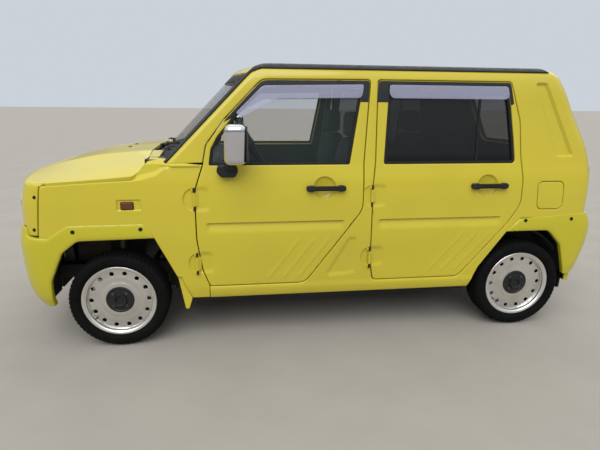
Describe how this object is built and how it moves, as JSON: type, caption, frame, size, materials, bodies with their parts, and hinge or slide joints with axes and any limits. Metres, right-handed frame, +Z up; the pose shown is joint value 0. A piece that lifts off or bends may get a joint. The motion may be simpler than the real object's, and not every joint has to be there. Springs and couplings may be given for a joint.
{
  "type": "kei car",
  "caption": "Small tall five-door car with exposed door hinges, bolted-on bumpers and flares, steered front wheels and opening doors, bonnet and tailgate.",
  "frame": {"origin": "on the ground under the middle of the car's length and width", "axes": "+X towards the car's front, +Y to its left side, +Z up"},
  "size_m": [3.3947, 1.756, 1.55],
  "materials": {
    "body_paint": "gloss",
    "trim": "matte",
    "glass": "clear",
    "chrome": "polished",
    "tyre": "matte",
    "alloy": "machined",
    "steel": "satin",
    "cast": "rough",
    "seat": "woven",
    "interior": "grained",
    "lamp": "clear",
    "tail_lamp": "gloss",
    "exhaust": "satin"
  },
  "bodies": {
    "body": {"floor_pan": "steel", "bulkhead": "steel", "front_rails": "steel", "front_frame": "steel", "strut_towers": "steel", "rear_floor": "steel", "side_frames": "body_paint", "roof": "body_paint", "fenders": "body_paint", "front_panel": "body_paint", "grille": "trim", "head_lamps": "lamp", "tail_lamps": "tail_lamp", "front_bumper": "body_paint", "rear_bumper": "body_paint", "mud_flaps": "body_paint", "windscreen": "glass", "roof_mouldings": "trim", "wipers": "trim", "front_subframe": "steel", "rear_axle": "steel", "engine": "cast", "radiator": "alloy", "exhaust": "exhaust", "fuel_tank": "steel", "dashboard": "interior", "front_seats": "seat", "rear_seat": "seat"},
    "front_door_left": {"front_door_left": "body_paint", "front_glass_left": "glass", "front_fittings_left": "chrome"},
    "rear_door_left": {"rear_door_left": "body_paint", "rear_glass_left": "glass", "rear_handle_left": "trim"},
    "front_door_right": {"front_door_right": "body_paint", "front_glass_right": "glass", "front_fittings_right": "chrome"},
    "rear_door_right": {"rear_door_right": "body_paint", "rear_glass_right": "glass", "rear_handle_right": "trim"},
    "bonnet": {"bonnet": "body_paint"},
    "tailgate": {"tailgate": "body_paint", "tailgate_glass": "glass"},
    "fuel_flap": {"fuel_flap": "body_paint"},
    "steering_wheel": {"steering_wheel": "interior"},
    "knuckle_left": {"knuckle_left": "cast"},
    "knuckle_right": {"knuckle_right": "cast"},
    "wheel_front_left": {"tyre_front_left": "tyre", "rim_front_left": "alloy"},
    "wheel_front_right": {"tyre_front_right": "tyre", "rim_front_right": "alloy"},
    "wheel_rear_left": {"tyre_rear_left": "tyre", "rim_rear_left": "alloy"},
    "wheel_rear_right": {"tyre_rear_right": "tyre", "rim_rear_right": "alloy"}
  },
  "joints": [
    {"name": "front_door_left_hinge", "type": "hinge", "parent": "body", "child": "front_door_left", "pos_m": [0.6935, 0.731, 0.65], "axis": [0, 0, -1], "range_deg": [0, 65]},
    {"name": "rear_door_left_hinge", "type": "hinge", "parent": "body", "child": "rear_door_left", "pos_m": [-0.2805, 0.731, 0.65], "axis": [0, 0, -1], "range_deg": [0, 70]},
    {"name": "front_door_right_hinge", "type": "hinge", "parent": "body", "child": "front_door_right", "pos_m": [0.6935, -0.731, 0.65], "axis": [0, 0, 1], "range_deg": [0, 65]},
    {"name": "rear_door_right_hinge", "type": "hinge", "parent": "body", "child": "rear_door_right", "pos_m": [-0.2805, -0.731, 0.65], "axis": [0, 0, 1], "range_deg": [0, 70]},
    {"name": "bonnet_hinge", "type": "hinge", "parent": "body", "child": "bonnet", "pos_m": [0.9595, 0, 1.057], "axis": [0, -1, 0], "range_deg": [0, 52]},
    {"name": "tailgate_hinge", "type": "hinge", "parent": "body", "child": "tailgate", "pos_m": [-1.4115, 0, 1.508], "axis": [0, 1, 0], "range_deg": [0, 78]},
    {"name": "fuel_flap_hinge", "type": "hinge", "parent": "body", "child": "fuel_flap", "pos_m": [-1.2765, 0.7305, 0.825], "axis": [0, 0, -1], "range_deg": [0, 95]},
    {"name": "steer_left", "type": "hinge", "parent": "body", "child": "knuckle_left", "pos_m": [1.1275, 0.59, 0.19], "axis": [0, -0.1908, 0.9816], "range_deg": [-36, 36]},
    {"name": "steer_right", "type": "hinge", "parent": "body", "child": "knuckle_right", "pos_m": [1.1275, -0.59, 0.19], "axis": [0, 0.1908, 0.9816], "range_deg": [-36, 36]},
    {"name": "steering_wheel_turn", "type": "hinge", "parent": "body", "child": "steering_wheel", "pos_m": [0.3515, -0.33, 1.04], "axis": [-0.8829, 0, 0.4695], "range_deg": [-540, 540]},
    {"name": "wheel_front_left_spin", "type": "hinge", "parent": "knuckle_left", "child": "wheel_front_left", "pos_m": [1.1275, 0.65, 0.2685], "axis": [0, 1, 0], "continuous": true},
    {"name": "wheel_front_right_spin", "type": "hinge", "parent": "knuckle_right", "child": "wheel_front_right", "pos_m": [1.1275, -0.65, 0.2685], "axis": [0, 1, 0], "continuous": true},
    {"name": "wheel_rear_left_spin", "type": "hinge", "parent": "body", "child": "wheel_rear_left", "pos_m": [-1.2325, 0.65, 0.2685], "axis": [0, 1, 0], "continuous": true},
    {"name": "wheel_rear_right_spin", "type": "hinge", "parent": "body", "child": "wheel_rear_right", "pos_m": [-1.2325, -0.65, 0.2685], "axis": [0, 1, 0], "continuous": true}
  ],
  "couplings": [
    {"joint": "steer_right", "follows": "steer_left", "ratio": 1},
    {"joint": "steering_wheel_turn", "follows": "steer_left", "ratio": 15}
  ]
}
